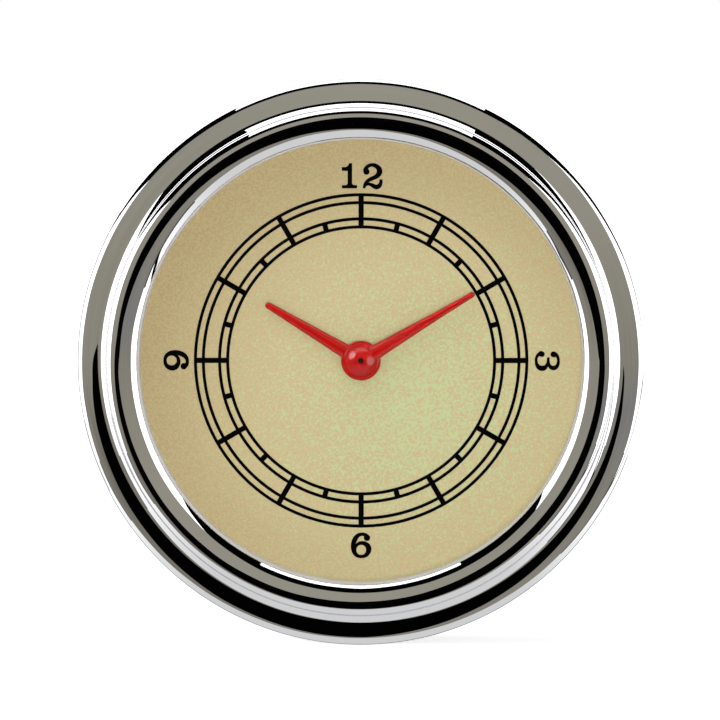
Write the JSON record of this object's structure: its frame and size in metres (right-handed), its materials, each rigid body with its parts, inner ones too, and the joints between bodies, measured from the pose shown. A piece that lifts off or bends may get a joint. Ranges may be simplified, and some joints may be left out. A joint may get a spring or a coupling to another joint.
{
  "type": "dashboard clock",
  "caption": "Round panel clock for a car dashboard, with a stepped chrome bezel, flat lens, tan dial, red hands, quartz movement and a rear clamp bracket.",
  "frame": {"origin": "centre of the back face of the bezel, in the plane where it seats on the panel", "axes": "+Y backwards through the panel along the hands' axis, +Z to 12 o'clock, +X to 3 o'clock"},
  "size_m": [0.0604, 0.0612, 0.0604],
  "materials": {
    "bezel_chrome": "polished bright chrome plate on a spun sheet",
    "lens_glass": "clear flat glass with ground edges",
    "black_rubber": "matt black rubber",
    "white_plastic": "translucent white moulding",
    "zinc_plate": "drawn steel with dull zinc plate",
    "dial_paint": "satin champagne paint, black print",
    "hand_paint": "glossy red lacquer",
    "gear_brass": "stamped and hobbed brass",
    "bright_steel": "turned bright steel",
    "ivory_plastic": "moulded acetal",
    "black_plastic": "moulded black plastic",
    "bonded_magnet": "bonded magnet, dark grey",
    "soft_iron": "stamped soft-iron sheet",
    "copper_wire": "enamelled copper wire",
    "board_green": "green solder mask on glass-fibre board",
    "capacitor_sleeve": "dark blue shrink sleeve",
    "stud_zinc": "zinc-plated steel",
    "red_fibre": "red insulating fibre",
    "terminal_brass": "tinned brass strip",
    "bulb_glass": "thin clear glass",
    "bracket_zinc": "bent strip steel, zinc plate",
    "nut_brass": "knurled brass"
  },
  "bodies": {
    "case": {"bezel": "bezel_chrome", "lens": "lens_glass", "lens_gasket": "black_rubber", "light_ring": "white_plastic", "case_can": "zinc_plate", "dial": "dial_paint", "front_plate": "ivory_plastic", "rear_plate": "ivory_plastic", "plate_pillars": "gear_brass", "plate_screws": "bright_steel", "stator": "soft_iron", "stator_screws": "bright_steel", "coil_core": "soft_iron", "coil_bobbin": "white_plastic", "coil_winding": "copper_wire", "coil_pins": "bright_steel", "circuit_board": "board_green", "board_spacers": "bright_steel", "board_screws": "bright_steel", "quartz_crystal": "bright_steel", "driver_chip": "black_plastic", "capacitor": "capacitor_sleeve", "surge_diode": "black_plastic", "mounting_studs": "stud_zinc", "stud_sleeves": "bright_steel", "stud_washers": "stud_zinc", "stud_nuts": "stud_zinc", "terminal_bushes": "red_fibre", "power_terminal": "terminal_brass", "ground_terminal": "terminal_brass"},
    "minute_hand_group": {"minute_hand": "hand_paint", "cannon_pinion": "bright_steel", "centre_arbor": "bright_steel", "centre_wheel": "gear_brass", "clutch_spring": "bright_steel"},
    "hour_hand_group": {"hour_hand": "hand_paint", "hour_wheel": "gear_brass"},
    "minute_wheel_group": {"minute_wheel": "gear_brass"},
    "setting_group": {"setting_wheel": "ivory_plastic", "setting_arbor": "bright_steel", "setting_knob": "black_plastic"},
    "transfer_group": {"transfer_wheel": "gear_brass", "transfer_arbor": "bright_steel"},
    "rotor_group": {"rotor_magnet": "bonded_magnet", "rotor_pinion": "ivory_plastic"},
    "lamp_group": {"lamp_holder": "black_plastic", "lamp_bulb": "bulb_glass", "lamp_contacts": "terminal_brass"},
    "bracket_group": {"clamp_bracket": "bracket_zinc", "clamp_washers": "stud_zinc"},
    "left_nut_group": {"clamp_nut_left": "nut_brass"},
    "right_nut_group": {"clamp_nut_right": "nut_brass"}
  },
  "joints": [
    {"name": "minute_hand_turn", "type": "hinge", "parent": "case", "child": "minute_hand_group", "pos_m": [0, 0, 0], "axis": [0, 1, 0], "continuous": true},
    {"name": "hour_hand_turn", "type": "hinge", "parent": "case", "child": "hour_hand_group", "pos_m": [0, 0, 0], "axis": [0, 1, 0], "continuous": true},
    {"name": "minute_wheel_turn", "type": "hinge", "parent": "case", "child": "minute_wheel_group", "pos_m": [0, 0, -0.006], "axis": [0, 1, 0], "continuous": true},
    {"name": "setting_knob_turn", "type": "hinge", "parent": "case", "child": "setting_group", "pos_m": [0, 0, -0.0135], "axis": [0, 1, 0], "continuous": true},
    {"name": "transfer_wheel_turn", "type": "hinge", "parent": "case", "child": "transfer_group", "pos_m": [-0.00779, 0, 0.0045], "axis": [0, 1, 0], "continuous": true},
    {"name": "rotor_turn", "type": "hinge", "parent": "case", "child": "rotor_group", "pos_m": [-0.00439, 0, 0.01039], "axis": [0, 1, 0], "continuous": true},
    {"name": "lamp_holder_twist", "type": "hinge", "parent": "case", "child": "lamp_group", "pos_m": [0, 0, 0.014], "axis": [0, 1, 0], "range_deg": [0, 45]},
    {"name": "bracket_slide", "type": "slide", "parent": "case", "child": "bracket_group", "axis": [0, 1, 0], "range_m": [-0.0033, 0.0058]},
    {"name": "left_nut_turn", "type": "hinge", "parent": "bracket_group", "child": "left_nut_group", "pos_m": [-0.016, 0, 0], "axis": [0, 1, 0], "range_deg": [-1698, 2984]},
    {"name": "right_nut_turn", "type": "hinge", "parent": "bracket_group", "child": "right_nut_group", "pos_m": [0.016, 0, 0], "axis": [0, 1, 0], "range_deg": [-1698, 2984]}
  ],
  "couplings": [
    {"joint": "hour_hand_turn", "follows": "minute_hand_turn", "ratio": 0.083333},
    {"joint": "minute_wheel_turn", "follows": "minute_hand_turn", "ratio": -0.33333},
    {"joint": "setting_knob_turn", "follows": "minute_hand_turn", "ratio": 0.5},
    {"joint": "transfer_wheel_turn", "follows": "minute_hand_turn", "ratio": -8},
    {"joint": "rotor_turn", "follows": "minute_hand_turn", "ratio": 60},
    {"joint": "left_nut_turn", "follows": "bracket_slide", "rad_per_m": 8976},
    {"joint": "right_nut_turn", "follows": "bracket_slide", "rad_per_m": 8976}
  ]
}
